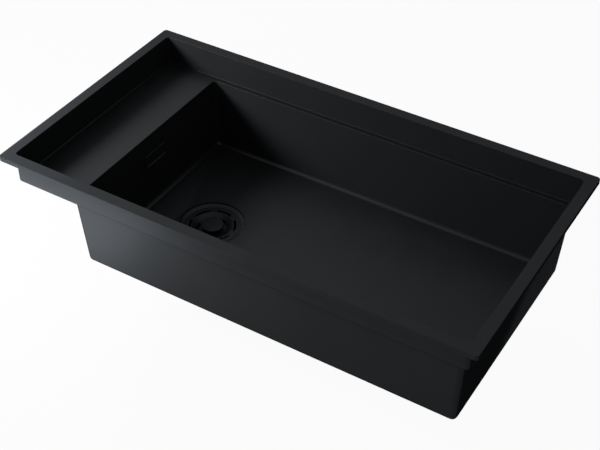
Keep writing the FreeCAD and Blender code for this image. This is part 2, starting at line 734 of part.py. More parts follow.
def at_drain(body, turn=None):
    """Put a body at the drain's axis, its zero level on the flange's ring."""
    body.Placement = FreeCAD.Placement(
        FreeCAD.Vector(drain_x.number, 0, ring_level.number),
        FreeCAD.Rotation(FreeCAD.Vector(0, 0, -1), 0))
    bind(body, "Placement.Base.x", drain_x)
    bind(body, "Placement.Base.z", ring_level)
    if turn is not None:
        body.Placement.Rotation = FreeCAD.Rotation(FreeCAD.Vector(0, 0, -1), turn.number)
        bind(body, "Placement.Rotation.Angle", turn)


def turned(name, outline, axis="V_Axis", height=0):
    """A body turned from an outline of points (radius, height)."""
    body = new_body(name)
    if axis == "H_Axis":
        outline = [(along, radius) for radius, along in outline]
    sketch = new_sketch(body, "Section", "XZ_Plane", (0, height, 0))
    draw_outline(sketch, outline)
    revolve(body, "Turned", sketch, axis)
    return body


# Drain flange: one drawn sheet. A dished ring, a step that carries the basket,
# the well, the stopper's seat and a sunk middle for the clamp screw.
def make_drain_flange():
    step_radius = size.basket_radius + size.basket_play
    under = size.flange_sheet
    ledge = -(size.dish_fall + size.basket_sheet)
    dish = size.dish_fall / (size.flange_radius - step_radius)
    skirt = size.flange_radius - under
    seat = -size.well_depth
    middle = seat - size.spider_drop
    hole = size.clamp_radius + size.screw_play
    body = turned("drain_flange", (
        (size.flange_radius, ledge - under),
        (size.flange_radius, 0),
        (step_radius, -size.dish_fall),
        (step_radius, ledge),
        (size.well_radius, ledge),
        (size.well_radius, seat),
        (size.seat_radius, seat),
        (size.spider_radius, middle),
        (hole, middle),
        (hole, middle - under),
        (size.spider_radius + under, middle - under),
        (size.seat_radius + under, seat - under),
        (size.well_radius + under, seat - under),
        (size.well_radius + under, ledge - under),
        (step_radius + under, ledge - under),
        (step_radius + under, -(size.flange_radius - step_radius - under) * dish - under),
        (skirt, -(size.flange_radius - skirt) * dish - under),
        (skirt, ledge - under),
    ))
    fillet(body, "RingEdge", size.flange_round, ring_at(size.flange_radius, 0))
    sketch = new_sketch(body, "Opening", "XY_Plane", (0, 0, middle))
    draw_arc_slot(sketch, size.outlet_middle, size.outlet_width, size.outlet_span,
                  size.rim_slot_turn)
    opening = pocket(body, "Outlet", sketch, 2 * under)
    repeat_around(body, "Outlets", opening, 4, sketch, False)
    at_drain(body)
    return body


def make_flange_gasket():
    top = -(size.dish_fall + size.basket_sheet + size.flange_sheet)
    body = turned("flange_gasket", (
        (size.gasket_inner, top),
        (size.gasket_outer, top),
        (size.gasket_outer, top - size.gasket_thickness),
        (size.gasket_inner, top - size.gasket_thickness),
    ))
    at_drain(body)
    return body


# The recess's underside, measured down from the ring of the flange.
recess_underside = size.ring_drop - size.recess_depth - size.sheet
waste_top = recess_underside - size.washer_thickness


def make_body_gasket():
    body = turned("body_gasket", (
        (size.washer_inner, recess_underside),
        (size.washer_outer, recess_underside),
        (size.washer_outer, waste_top),
        (size.washer_inner, waste_top),
    ))
    at_drain(body)
    return body


spider_level = -(size.well_depth + size.spider_drop)
boss_level = spider_level - size.flange_sheet - size.boss_gap

# The overflow is square to the bowl's sloping wall. Its frame lies on the
# wall's outer face, with X into the bowl; the pipe below it hangs plumb.
wall_x = opening_left - size.sheet + slope * size.overflow_drop
wall_thickness = size.sheet * cosine(size.bowl_draft)
chamber_floor = -(size.chamber_height / 2 + size.chamber_drop)
spigot_x = -(size.spigot_back + size.spigot_length * sine(size.bowl_draft))
spigot_z = chamber_floor - size.chamber_wall / 2 - size.spigot_length * cosine(size.bowl_draft)
pipe_x = wall_x + spigot_x * cosine(size.bowl_draft) - spigot_z * sine(size.bowl_draft)
spigot_end = overflow_z + spigot_x * sine(size.bowl_draft) + spigot_z * cosine(
    size.bowl_draft)
pipe_turn = arc_tangent(size.overflow_y / (drain_x - pipe_x))
pipe_reach = (drain_x - pipe_x) / cosine(pipe_turn)


# Waste body: cup, funnel and outlet tube in one moulding, a side inlet for the
# overflow, and a boss on three ribs that the clamp screw pulls on.
def make_waste_body():
    wall = size.waste_wall
    cup = size.waste_cup
    collar_end = -(size.waste_end - size.outlet_length)
    collar_top = collar_end + size.outlet_collar_height
    bore = size.outlet_radius - wall
    body = turned("waste_body", (
        (size.waste_flange, waste_top),
        (cup, waste_top),
        (cup, -size.waste_cup_depth),
        (bore, -size.waste_funnel_depth),
        (bore, -size.waste_end),
        (size.outlet_radius, -size.waste_end),
        (size.outlet_radius, collar_end),
        (size.outlet_collar, collar_end),
        (size.outlet_collar, collar_top),
        (cup + wall, -size.waste_cup_depth - wall / 2),
        (cup + wall, waste_top - wall),
        (size.waste_flange, waste_top - wall),
    ))
    sketch = new_sketch(body, "Inlet", "YZ_Plane", (0, -size.inlet_drop, -size.inlet_start))
    draw_circle(sketch, size.thread_radius)
    pad(body, "InletSpigot", sketch, size.inlet_end - size.inlet_start, down=True)
    sketch = new_sketch(body, "InletBore", "YZ_Plane", (0, -size.inlet_drop, -size.inlet_end))
    draw_circle(sketch, size.pipe_radius + size.pipe_play)
    pocket(body, "InletHole", sketch, size.inlet_end - cup + 2 * wall, up=True)

    sketch = new_sketch(body, "RibSide", "XZ_Plane")
    slant = (size.waste_funnel_depth - size.waste_cup_depth) / (cup - bore)
    rib_top = boss_level - size.boss_radius / 2
    rib_end = -size.waste_funnel_depth + wall / 2
    into_wall = wall / 2
    draw_outline(sketch, (
        (0, rib_top),
        (cup - (-rib_top - size.waste_cup_depth) / slant + into_wall, rib_top),
        (cup - (-rib_end - size.waste_cup_depth) / slant + into_wall, rib_end),
        (0, rib_end),
    ))
    rib = pad(body, "Rib", sketch, size.rib_thickness, both=True)
    level = new_sketch(body, "BossOutline", "XY_Plane", (0, 0, boss_level))
    draw_circle(level, size.boss_radius)
    repeat_around(body, "Ribs", rib, 3, level, True)
    pad(body, "Boss", level, size.boss_length, down=True)
    sketch = new_sketch(body, "InsertOutline", "XY_Plane", (0, 0, boss_level))
    draw_circle(sketch, size.insert_radius)
    pocket(body, "InsertSeat", sketch, size.insert_length)
    at_drain(body, pipe_turn)
    return body


def make_clamp_insert():
    body = turned("clamp_insert", (
        (size.clamp_radius, boss_level),
        (size.insert_radius, boss_level),
        (size.insert_radius, boss_level - size.insert_length),
        (size.clamp_radius, boss_level - size.insert_length),
    ))
    at_drain(body)
    return body


def make_clamp_screw():
    head = spider_level + size.clamp_head_height
    body = turned("clamp_screw", (
        (0, head),
        (size.clamp_head, head),
        (size.clamp_head, spider_level),
        (size.clamp_radius, spider_level),
        (size.clamp_radius, spider_level - size.clamp_length),
        (0, spider_level - size.clamp_length),
    ))
    sketch = new_sketch(body, "Drive", "XY_Plane", (0, 0, head))
    draw_rectangle(sketch, 2 * size.clamp_head + size.clamp_slot, size.clamp_slot)
    pocket(body, "DriveSlot", sketch, size.clamp_slot)
    at_drain(body)
    return body


# Basket: one sheet with a flat rim and a cone, six slots in each, and a round
# hole in the floor for the bush.
def make_strainer_basket():
    rim = -size.dish_fall
    floor = -size.basket_depth
    thick = size.basket_sheet
    body = turned("strainer_basket", (
        (size.basket_radius, rim),
        (size.basket_flat, rim),
        (size.basket_foot, floor),
        (size.bush_neck, floor),
        (size.bush_neck, floor - thick),
        (size.basket_foot - thick / 2, floor - thick),
        (size.basket_flat - thick / 2, rim - thick),
        (size.basket_radius, rim - thick),
    ))
    fillet(body, "InnerBends", size.basket_round, ring_at(size.basket_flat, rim))
    fillet(body, "FootBend", size.basket_round, ring_at(size.basket_foot, floor))
    sketch = new_sketch(body, "RimSlot", "XY_Plane", (0, 0, rim + thick))
    draw_arc_slot(sketch, size.rim_slot_radius, size.rim_slot_width, size.rim_slot_span,
                  size.rim_slot_turn)
    slot = pocket(body, "SlotInRim", sketch, 3 * thick)
    repeat_around(body, "SlotsInRim", slot, 6, sketch, False)
    sketch = new_sketch(body, "ConeSlot", "XY_Plane", (0, 0, rim - 2 * thick))
    draw_arc_slot(sketch, size.cone_slot_radius, size.cone_slot_width, size.cone_slot_span,
                  size.cone_slot_turn)
    slot = pocket(body, "SlotInCone", sketch, size.basket_depth)
    repeat_around(body, "SlotsInCone", slot, 6, sketch, False)
    at_drain(body)
    return body


bush_top = size.bush_above - size.basket_depth
bush_end = -(size.basket_depth + size.basket_sheet + size.bush_below)


def make_stem_bush():
    bore = size.stem_radius + size.stem_play
    floor = -size.basket_depth
    body = turned("stem_bush", (
        (bore, bush_top),
        (size.bush_collar, bush_top),
        (size.bush_collar, floor),
        (size.bush_neck, floor),
        (size.bush_neck, floor - size.basket_sheet),
        (size.bush_collar, floor - size.basket_sheet),
        (size.bush_collar, bush_end),
        (bore, bush_end),
    ))
    at_drain(body)
    return body


def make_basket_knob():
    hub_end = bush_top + size.knob_lift
    body = turned("basket_knob", (
        (0, 0),
        (size.knob_radius, 0),
        (size.knob_radius, -size.knob_thickness),
        (size.knob_hub, -size.knob_thickness),
        (size.knob_hub, hub_end),
        (size.stem_radius, hub_end),
        (size.stem_radius, -size.knob_cover),
        (0, -size.knob_cover),
    ))
    fillet(body, "TopEdge", size.knob_round, ring_at(size.knob_radius, 0))
    fillet(body, "LowEdge", size.knob_round, ring_at(size.knob_radius, -size.knob_thickness))
    at_drain(body)
    return body


disc_top = size.stopper_thickness - size.well_depth
recess_top = size.rivet_depth - size.well_depth


def make_stopper_stem():
    body = turned("stopper_stem", (
        (0, -size.knob_cover),
        (size.stem_radius, -size.knob_cover),
        (size.stem_radius, disc_top + size.plate_thickness),
        (size.plate_radius, disc_top + size.plate_thickness),
        (size.plate_radius, disc_top),
        (size.rivet_neck, disc_top),
        (size.rivet_neck, recess_top),
        (size.rivet_radius, recess_top),
        (size.rivet_radius, recess_top - size.rivet_height),
        (0, recess_top - size.rivet_height),
    ))
    at_drain(body)
    return body


def make_stopper_seal():
    body = turned("stopper_seal", (
        (size.rivet_neck, disc_top),
        (size.stopper_radius, disc_top),
        (size.stopper_radius, -size.well_depth),
        (size.rivet_recess, -size.well_depth),
        (size.rivet_recess, recess_top),
        (size.rivet_neck, recess_top),
    ))
    at_drain(body)
    return body


def on_wall(thing):
    """Put a piece into the overflow's frame."""
    thing.Placement = FreeCAD.Placement(
        FreeCAD.Vector(wall_x.number, size.overflow_y.number, overflow_z.number),
        FreeCAD.Rotation(FreeCAD.Vector(0, -1, 0), size.bowl_draft.number))
    bind(thing, "Placement.Base.x", wall_x)
    bind(thing, "Placement.Base.y", size.overflow_y)
    bind(thing, "Placement.Base.z", overflow_z)
    bind(thing, "Placement.Rotation.Angle", size.bowl_draft)


def draw_fixings(sketch, radius):
    for side in (-1, 1):
        draw_circle(sketch, radius, side * size.fixing_spacing / 2)


# Overflow cover: a plate with a raised frame on two posts, so that water runs
# in behind it from every side.
def make_overflow_cover():
    body = new_body("overflow_cover")
    back = wall_thickness + size.cover_gap
    sketch = new_sketch(body, "PlateOutline", "YZ_Plane", (0, 0, back))
    draw_rounded(sketch, size.cover_length, size.cover_height, size.cover_corner)
    pad(body, "Plate", sketch, size.cover_thickness)
    front = (back + size.cover_thickness).number
    fillet(body, "PlateEdge", size.cover_round,
           lambda edge: abs(edge.BoundBox.XMin - front) < TOLERANCE)
    sketch = new_sketch(body, "DishOutline", "YZ_Plane", (0, 0, back + size.cover_thickness))
    draw_rounded(sketch, size.cover_length - 2 * size.cover_frame,
                 size.cover_height - 2 * size.cover_frame, size.cover_corner / 2)
    pocket(body, "Dish", sketch, size.cover_dish, taper=-size.cover_slope)
    sketch = new_sketch(body, "PostOutlines", "YZ_Plane", (0, 0, wall_thickness))
    draw_fixings(sketch, size.post_radius)
    pad(body, "Posts", sketch, size.cover_gap + size.cover_thickness / 2)
    sketch = new_sketch(body, "PostBores", "YZ_Plane", (0, 0, wall_thickness))
    draw_fixings(sketch, size.fixing_radius)
    pocket(body, "PostHoles", sketch, size.fixing_grip, up=True)
    on_wall(body)
    return body


def make_overflow_gasket():
    body = new_body("overflow_gasket")
    sketch = new_sketch(body, "Outline", "YZ_Plane")
    draw_rounded(sketch, size.box_length, size.box_height, size.box_corner)
    draw_rounded(sketch, size.slot_length, size.slot_height, size.slot_corner)
    draw_fixings(sketch, size.fixing_radius + size.fixing_play)
    pad(body, "Rubber", sketch, size.box_gasket, down=True)
    on_wall(body)
    return body


# Overflow housing: a flange against the gasket, a chamber behind it and a
# spigot below that stands plumb although the flange follows the wall.
def make_overflow_housing():
    body = new_body("overflow_housing")
    face = -size.box_gasket
    wall = size.chamber_wall
    sketch = new_sketch(body, "FlangeOutline", "YZ_Plane", (0, 0, face))
    draw_rounded(sketch, size.box_length, size.box_height, size.box_corner)
    pad(body, "Flange", sketch, size.box_flange, down=True)
    sketch = new_sketch(body, "ChamberOutline", "YZ_Plane", (0, -size.chamber_drop, face))
    draw_rounded(sketch, size.chamber_length + 2 * wall, size.chamber_height + 2 * wall,
                 size.chamber_corner + wall)
    pad(body, "Chamber", sketch, size.chamber_depth + wall, down=True)
    plumb = dict(tilt_axis=FreeCAD.Vector(0, 1, 0), tilt=size.bowl_draft)
    sketch = new_sketch(body, "SpigotOutline", "XY_Plane", (spigot_x, 0, spigot_z), **plumb)
    draw_circle(sketch, size.thread_radius)
    pad(body, "Spigot", sketch, size.spigot_length)
    sketch = new_sketch(body, "ChamberInside", "YZ_Plane", (0, -size.chamber_drop, face))
    draw_rounded(sketch, size.chamber_length, size.chamber_height, size.chamber_corner)
    pocket(body, "Hollow", sketch, size.chamber_depth)
    sketch = new_sketch(body, "SpigotInside", "XY_Plane", (spigot_x, 0, spigot_z), **plumb)
    draw_circle(sketch, size.pipe_radius + size.pipe_play)
    pocket(body, "SpigotHole", sketch, size.spigot_length + 2 * wall, up=True)
    sketch = new_sketch(body, "FixingOutlines", "YZ_Plane", (0, 0, face))
    draw_fixings(sketch, size.fixing_radius + size.fixing_play)
    pocket(body, "FixingHoles", sketch, size.box_flange)
    on_wall(body)
    return body


# The two overflow screws go in from behind: housing, gasket, wall, post.
def make_overflow_screws():
    seat = -(size.box_gasket + size.box_flange)
    shank = wall_thickness + size.fixing_grip - seat
    screws = []
    for side, name in ((-1, "FrontScrew"), (1, "BackScrew")):
        pieces = []
        rows = (
            ("Head", size.fixing_head, size.fixing_head_height, seat - size.fixing_head_height),
            ("Shank", size.fixing_radius, shank, seat),
        )
        for part_name, radius, length, start in rows:
            rod = document.addObject("Part::Cylinder", name + part_name)
            bind(rod, "Radius", radius)
            bind(rod, "Height", length)
            rod.Placement = FreeCAD.Placement(
                FreeCAD.Vector(start.number, side * size.fixing_spacing.number / 2, 0),
                FreeCAD.Rotation(FreeCAD.Vector(0, 1, 0), 90))
            bind(rod, "Placement.Base.x", start)
            bind(rod, "Placement.Base.y", side * size.fixing_spacing / 2)
            pieces.append(rod)
        screw = document.addObject("Part::MultiFuse", name)
        screw.Shapes = pieces
        screws.append(screw)
    group = document.addObject("Part::Compound", "overflow_screws")
    group.Label = "overflow_screws"
    group.Links = screws
    on_wall(group)
    document.recompute()
    return group


# Overflow pipe: plumb from the housing, one bend, then level to the waste body.
def make_overflow_pipe():
    body = new_body("overflow_pipe")
    inlet_level = ring_level - size.inlet_drop
    top = spigot_end + size.pipe_entry - inlet_level
    end = pipe_reach - size.inlet_end + size.pipe_entry
    bend = size.pipe_bend
    route = new_sketch(body, "Route", "XZ_Plane")
    down = line(route, (0, top.number), (0, bend.number))
    turn = arc(route, (bend.number, bend.number), bend.number, 180, 270)
    level = line(route, (bend.number, 0), (end.number, 0))
    constrain(route, "Tangent", down, 2, turn, 1)
    constrain(route, "Tangent", turn, 2, level, 1)
    constrain(route, "PointOnObject", down, 1, -2)
    constrain(route, "Vertical", down)
    constrain(route, "Horizontal", level)
    constrain(route, "PointOnObject", level, 2, -1)
    constrain(route, "Radius", turn, value=bend)
    constrain(route, "DistanceY", -1, 1, down, 1, value=top)
    constrain(route, "DistanceX", -1, 1, level, 2, value=end)
    steps = (
        ("PartDesign::AdditivePipe", "Tube", size.pipe_radius, True),
        ("PartDesign::SubtractivePipe", "Bore", size.pipe_radius - size.pipe_wall, False),
    )
    for kind, name, radius, grows in steps:
        before = volume_so_far(body)
        section = new_sketch(body, name + "Section", "XY_Plane", (0, 0, top))
        draw_circle(section, radius)
        feature = body.newObject(kind, name)
        feature.Profile = section
        feature.Spine = (route, ["Edge1", "Edge2", "Edge3"])
        finish_feature(body, feature, before, grows)
    body.Placement = FreeCAD.Placement(
        FreeCAD.Vector(pipe_x.number, size.overflow_y.number, inlet_level.number),
        FreeCAD.Rotation(FreeCAD.Vector(0, 0, -1), pipe_turn.number))
    bind(body, "Placement.Base.x", pipe_x)
    bind(body, "Placement.Base.y", size.overflow_y)
    bind(body, "Placement.Base.z", inlet_level)
    bind(body, "Placement.Rotation.Angle", pipe_turn)
    return body


def hang_below_housing(body):
    """Put a body on the housing's spigot, its zero level at the end face."""
    bind(body, "Placement.Base.x", pipe_x)
    bind(body, "Placement.Base.y", size.overflow_y)
    bind(body, "Placement.Base.z", spigot_end)


def nut_outline(start, way):
    """Half section of a pipe nut; start is the spigot's end, way its sense."""
    bore = size.pipe_radius + size.pipe_play
    outside = size.thread_radius + size.nut_wall
    covered = start - way * size.nut_cover
    step = start + way * size.nut_seal
    end = step + way * size.nut_end
    return (
        (size.thread_radius, covered),
        (outside, covered),
        (outside, end),
        (bore, end),
        (bore, step),
        (size.thread_radius, step),
    )


def add_nut_ribs(body, start, way, plane, sideways):
    """Eight grip ribs along the nut, each from its wall outward."""
    outside = size.thread_radius + size.nut_wall
    low = start - way * size.nut_cover
    length = size.nut_cover + size.nut_seal + size.nut_end
    height = size.nut_wall / 2 + size.nut_rib
    place = (0, sideways, low) if plane == "YZ_Plane" else (0, 0, low)
    sketch = new_sketch(body, "RibOutline", plane, place)
    draw_rectangle(sketch, height, size.nut_rib_width, outside + size.nut_rib - height / 2)
    rib = pad(body, "Rib", sketch, length, down=way < 0)
    repeat_around(body, "Ribs", rib, 8, sketch, True)


def make_pipe_nut(name, at_waste):
    if at_waste:
        start = -size.inlet_end
        body = turned(name, nut_outline(start, -1), "H_Axis", -size.inlet_drop)
        add_nut_ribs(body, start, -1, "YZ_Plane", -size.inlet_drop)
        at_drain(body, pipe_turn)
    else:
        body = turned(name, nut_outline(as_size(0), -1))
        add_nut_ribs(body, as_size(0), -1, "XY_Plane", 0)
        hang_below_housing(body)
    return body


def make_pipe_washer(name, at_waste):
    start = -size.inlet_end if at_waste else as_size(0)
    outline = (
        (size.pipe_radius, start),
        (size.thread_radius, start),
        (size.thread_radius, start - size.nut_seal),
        (size.pipe_radius, start - size.nut_seal),
    )
    if at_waste:
        body = turned(name, outline, "H_Axis", -size.inlet_drop)
        at_drain(body, pipe_turn)
    else:
        body = turned(name, outline)
        hang_below_housing(body)
    return body


pieces = [
    make_rim_tray(),
    make_bowl(),
    make_rim_seal(),
    make_sound_pad(),
    make_drain_flange(),
    make_flange_gasket(),
    make_body_gasket(),
    make_waste_body(),
    make_clamp_insert(),
    make_clamp_screw(),
    make_strainer_basket(),
    make_stem_bush(),
    make_basket_knob(),
    make_stopper_stem(),
    make_stopper_seal(),
    make_overflow_cover(),
    make_overflow_gasket(),
    make_overflow_housing(),
    make_overflow_screws(),
    make_overflow_pipe(),
    make_pipe_nut("upper_pipe_nut", False),
    make_pipe_nut("lower_pipe_nut", True),
    make_pipe_washer("upper_pipe_washer", False),
    make_pipe_washer("lower_pipe_washer", True),
]
document.recompute()

for thing in document.Objects:
    if "Invalid" in thing.State or "Error" in thing.State:
        raise ValueError("%s is in state %s" % (thing.Label, thing.State))

for piece in pieces:
    shape = piece.Shape
    if shape.isNull() or not shape.isValid():
        raise ValueError("%s has no valid shape" % piece.Label)
    shape.exportStep("parts/%s.step" % piece.Label)
    box = shape.BoundBox
    print("%-18s solids %d  volume %10.0f  x %8.2f %8.2f  y %8.2f %8.2f  z %8.2f %8.2f" % (
        piece.Label, len(shape.Solids), shape.Volume, box.XMin, box.XMax,
        box.YMin, box.YMax, box.ZMin, box.ZMax))
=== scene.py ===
# %% [markdown]
# # A black kitchen sink with one deep bowl
#
# The real object is folded and drawn from stainless steel sheet, welded,
# blasted to an even satin and coated black. It has a flat rim that lies on the
# worktop, a shallow tray with a shelf on the left, and a deep bowl whose floor
# falls to a basket waste. Every piece of it is hard and has its exact solid in
# the frame, so nothing is modelled a second time here. This lesson is about
# finishes, light and camera. Lengths are real ones, in millimetres.

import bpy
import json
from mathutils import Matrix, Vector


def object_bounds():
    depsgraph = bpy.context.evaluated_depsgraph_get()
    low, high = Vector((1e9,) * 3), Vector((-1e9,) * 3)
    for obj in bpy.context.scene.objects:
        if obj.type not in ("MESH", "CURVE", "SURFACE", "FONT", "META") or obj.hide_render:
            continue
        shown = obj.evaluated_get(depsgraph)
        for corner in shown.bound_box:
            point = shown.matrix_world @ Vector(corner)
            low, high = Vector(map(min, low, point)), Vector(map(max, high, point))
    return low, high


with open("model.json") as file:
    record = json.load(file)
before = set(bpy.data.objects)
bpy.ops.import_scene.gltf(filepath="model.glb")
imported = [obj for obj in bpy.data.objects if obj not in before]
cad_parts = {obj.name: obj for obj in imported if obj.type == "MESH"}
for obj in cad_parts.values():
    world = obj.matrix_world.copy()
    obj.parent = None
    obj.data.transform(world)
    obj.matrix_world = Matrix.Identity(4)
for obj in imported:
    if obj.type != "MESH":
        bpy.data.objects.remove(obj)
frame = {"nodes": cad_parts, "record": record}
cad_box = [list(corner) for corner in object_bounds()]

import json

import bpy
from mathutils import Matrix, Vector

MM = 0.001
print("solids from", cad_box[0], "to", cad_box[1])

# %% [markdown]
# ## Colours and nodes
#
# A colour is written as the hex value that a colour picker shows. Shaders work
# in linear light, so one function turns it. Another adds a node with its
# settings and links, which keeps each material down to the choices that matter.

# %% Colour and node helpers
WHITE = (1, 1, 1, 1)
# A Mix node has sockets of the same name for each data type. These are the
# places of its two colours and of the mixed one.
COLOUR_A, COLOUR_B, MIXED_COLOUR = 6, 7, 2


def linear(code):
    """Turn an sRGB hex colour such as #1d1e20 to linear RGBA."""
    values = [int(code[i:i + 2], 16) / 255 for i in (1, 3, 5)]
    values = [v / 12.92 if v <= 0.04045 else ((v + 0.055) / 1.055) ** 2.4 for v in values]
    return (*values, 1.0)


def add_node(tree, kind, settings=None, links=None):
    """Add a node; settings are attributes or sockets, links come from sockets."""
    node = tree.nodes.new(kind)
    for name, value in (settings or {}).items():
        if isinstance(name, str) and hasattr(node, name):
            setattr(node, name, value)
        else:
            node.inputs[name].default_value = value
    for name, source in (links or {}).items():
        tree.links.new(source, node.inputs[name])
    return node


def new_material(name):
    """Make an empty material; give it, its tree and its output node."""
    material = bpy.data.materials.new(name)
    material.use_nodes = True
    tree = material.node_tree
    tree.nodes.clear()
    output = tree.nodes.new("ShaderNodeOutputMaterial")
    return material, tree, output


print("linear value of mid grey:", round(linear("#808080")[0], 4))

# %% [markdown]
# ## Black coated steel
#
# The visible metal is stainless steel, blasted with fine grit and then coated
# black, so it has an even grain and no brush lines. Two simple ways don't fit
# it. A glossy lacquer turns white at a glancing angle, most of all in white
# surroundings, and a bare metal shows nothing but the lamps. The real coat
# stays dark from every side, because the hollows of its grain shade each other.
# So the shader is mixed: mostly dull colour, about a quarter metal for the soft
# sheen, a dark tint at the edges, and no lacquer gloss on top. A slow cloud
# changes colour and roughness by a few percent, as hands and cleaning do.

# %% Material: black coated steel
# Real grit marks are about 0.1 mm, too fine to show in the render, so the grain
# is drawn at 0.6 mm. The cloud is as wide as a palm.
GRAIN_MM = 0.6
GRAIN_DEPTH_MM = 0.05
CLOUD_MM = 60


def coated_steel(name, dark, light, edge, metal, roughness, spread):
    material, tree, output = new_material(name)
    place = add_node(tree, "ShaderNodeTexCoord").outputs["Object"]
    grain = add_node(tree, "ShaderNodeTexNoise",
                     {"Scale": 1 / (GRAIN_MM * MM), "Detail": 2.0, "Roughness": 0.6},
                     {"Vector": place}).outputs["Fac"]
    cloud = add_node(tree, "ShaderNodeTexNoise",
                     {"Scale": 1 / (CLOUD_MM * MM), "Detail": 3.0, "Roughness": 0.5},
                     {"Vector": place}).outputs["Fac"]
    tint = add_node(tree, "ShaderNodeMix",
                    {"data_type": "RGBA", COLOUR_A: linear(dark), COLOUR_B: linear(light)},
                    {0: cloud}).outputs[MIXED_COLOUR]
    satin = add_node(tree, "ShaderNodeMapRange",
                     {"To Min": roughness - spread, "To Max": roughness + spread},
                     {"Value": cloud}).outputs["Result"]
    bump = add_node(tree, "ShaderNodeBump",
                    {"Strength": 0.06, "Distance": GRAIN_DEPTH_MM * MM},
                    {"Height": grain}).outputs["Normal"]
    shader = add_node(tree, "ShaderNodeBsdfPrincipled",
                      {"Metallic": metal, "Specular IOR Level": 0.0,
                       "Specular Tint": linear(edge)},
                      {"Base Color": tint, "Roughness": satin, "Normal": bump})
    tree.links.new(shader.outputs["BSDF"], output.inputs["Surface"])
    return material


# To the eye: a deep, slightly cool grey with a wide soft sheen, and no mirror
# image. A satin coat has a roughness of 0.3 to 0.5.
black_steel = coated_steel("black_coated_steel", dark="#37393b", light="#3b3d3f",
                           edge="#6c6c6c", metal=0.24, roughness=0.42, spread=0.04)
print("material:", black_steel.name)

# %% [markdown]
# ## Plastic, rubber and foam
#
# Below the bowl the waste body, the overflow housing, the pipe and its nuts are
# injection-moulded polypropylene. Their mould was spark-eroded, which leaves a
# slightly uneven surface. The gaskets are rubber, the strip under the rim is
# foam, and the layer under the floor is butyl rubber against the noise of
# water. All of them are dull and differ in the size of their unevenness, so one
# function makes them all. One noise gives a random tone and the bump, and it
# paints each pore darker where it is deeper, which is painted shade in the pores.

# %% Materials: plastic, rubber and foam


def moulded(name, dark, light, roughness, grain_mm, depth_mm, ior):
    material, tree, output = new_material(name)
    place = add_node(tree, "ShaderNodeTexCoord").outputs["Object"]
    grain = add_node(tree, "ShaderNodeTexNoise",
                     {"Scale": 1 / (grain_mm * MM), "Detail": 4.0, "Roughness": 0.5},
                     {"Vector": place}).outputs["Fac"]
    # Painted shade: the noise that sinks the bump also darkens the colour, so the pores are
    # painted darker than the surface around them, besides the random tone.
    tint = add_node(tree, "ShaderNodeMix",
                    {"data_type": "RGBA", COLOUR_A: linear(dark), COLOUR_B: linear(light)},
                    {0: grain}).outputs[MIXED_COLOUR]
    bump = add_node(tree, "ShaderNodeBump", {"Strength": 0.3, "Distance": depth_mm * MM},
                    {"Height": grain}).outputs["Normal"]
    shader = add_node(tree, "ShaderNodeBsdfPrincipled", {"Roughness": roughness, "IOR": ior},
                      {"Base Color": tint, "Normal": bump})
    tree.links.new(shader.outputs["BSDF"], output.inputs["Surface"])
    return material


# Dark grey and dull, with the faint waviness of an eroded mould.
polypropylene = moulded("moulded_polypropylene", "#1e1f20", "#252627",
                        roughness=0.5, grain_mm=1.5, depth_mm=0.03, ior=1.49)
# Black, with next to no shine.
rubber = moulded("nitrile_rubber", "#161616", "#1d1d1d",
                 roughness=0.75, grain_mm=1.0, depth_mm=0.03, ior=1.52)
# Matt and visibly porous.
foam = moulded("closed_cell_foam", "#262626", "#343434",
               roughness=0.9, grain_mm=1.2, depth_mm=0.25, ior=1.4)
# Matt, with a coarse, uneven skin.
butyl = moulded("butyl_damping_layer", "#1f1f20", "#2c2c2d",
                roughness=0.8, grain_mm=4.0, depth_mm=0.15, ior=1.5)
# Off-white and a little waxy.
acetal = moulded("acetal_bush", "#c9c8c2", "#d6d5cf",
                 roughness=0.4, grain_mm=1.0, depth_mm=0.01, ior=1.48)
print("moulded:", [m.name for m in (polypropylene, rubber, foam, butyl, acetal)])

# %% [markdown]
# ## Turned steel and brass
#
# The screws and the stem are turned from stainless bar, and the thread in the
# waste body is a brass insert. They could get real tool grooves, but the pieces
# are a few millimetres across and hardly seen, so fine marks in the colour do.

# %% Materials: steel and brass
TOOL_MARK_MM = 0.8


def turned_metal(name, dark, light, roughness):
    material, tree, output = new_material(name)
    place = add_node(tree, "ShaderNodeTexCoord").outputs["Object"]
    marks = add_node(tree, "ShaderNodeTexNoise",
                     {"Scale": 1 / (TOOL_MARK_MM * MM), "Detail": 3.0, "Roughness": 0.5},
                     {"Vector": place}).outputs["Fac"]
    tint = add_node(tree, "ShaderNodeMix",
                    {"data_type": "RGBA", COLOUR_A: linear(dark), COLOUR_B: linear(light)},
                    {0: marks}).outputs[MIXED_COLOUR]
    shader = add_node(tree, "ShaderNodeBsdfPrincipled",
                      {"Roughness": roughness, "Metallic": 1.0}, {"Base Color": tint})
    tree.links.new(shader.outputs["BSDF"], output.inputs["Surface"])
    return material


# Bright grey, with a soft streak of light along each round.
steel = turned_metal("turned_steel", "#a9a9a8", "#b8b8b6", roughness=0.32)
# Warm yellow, a little duller.
brass = turned_metal("turned_brass", "#b3924f", "#c2a15d", roughness=0.34)
print("turned:", steel.name, brass.name)

# %% [markdown]
# ## Finishes on the solids
#
# The shapes could be modelled again with more detail, but the solids already
# have every rounding and slot of the real sink. So each keeps its shape and
# place and only gets its material.

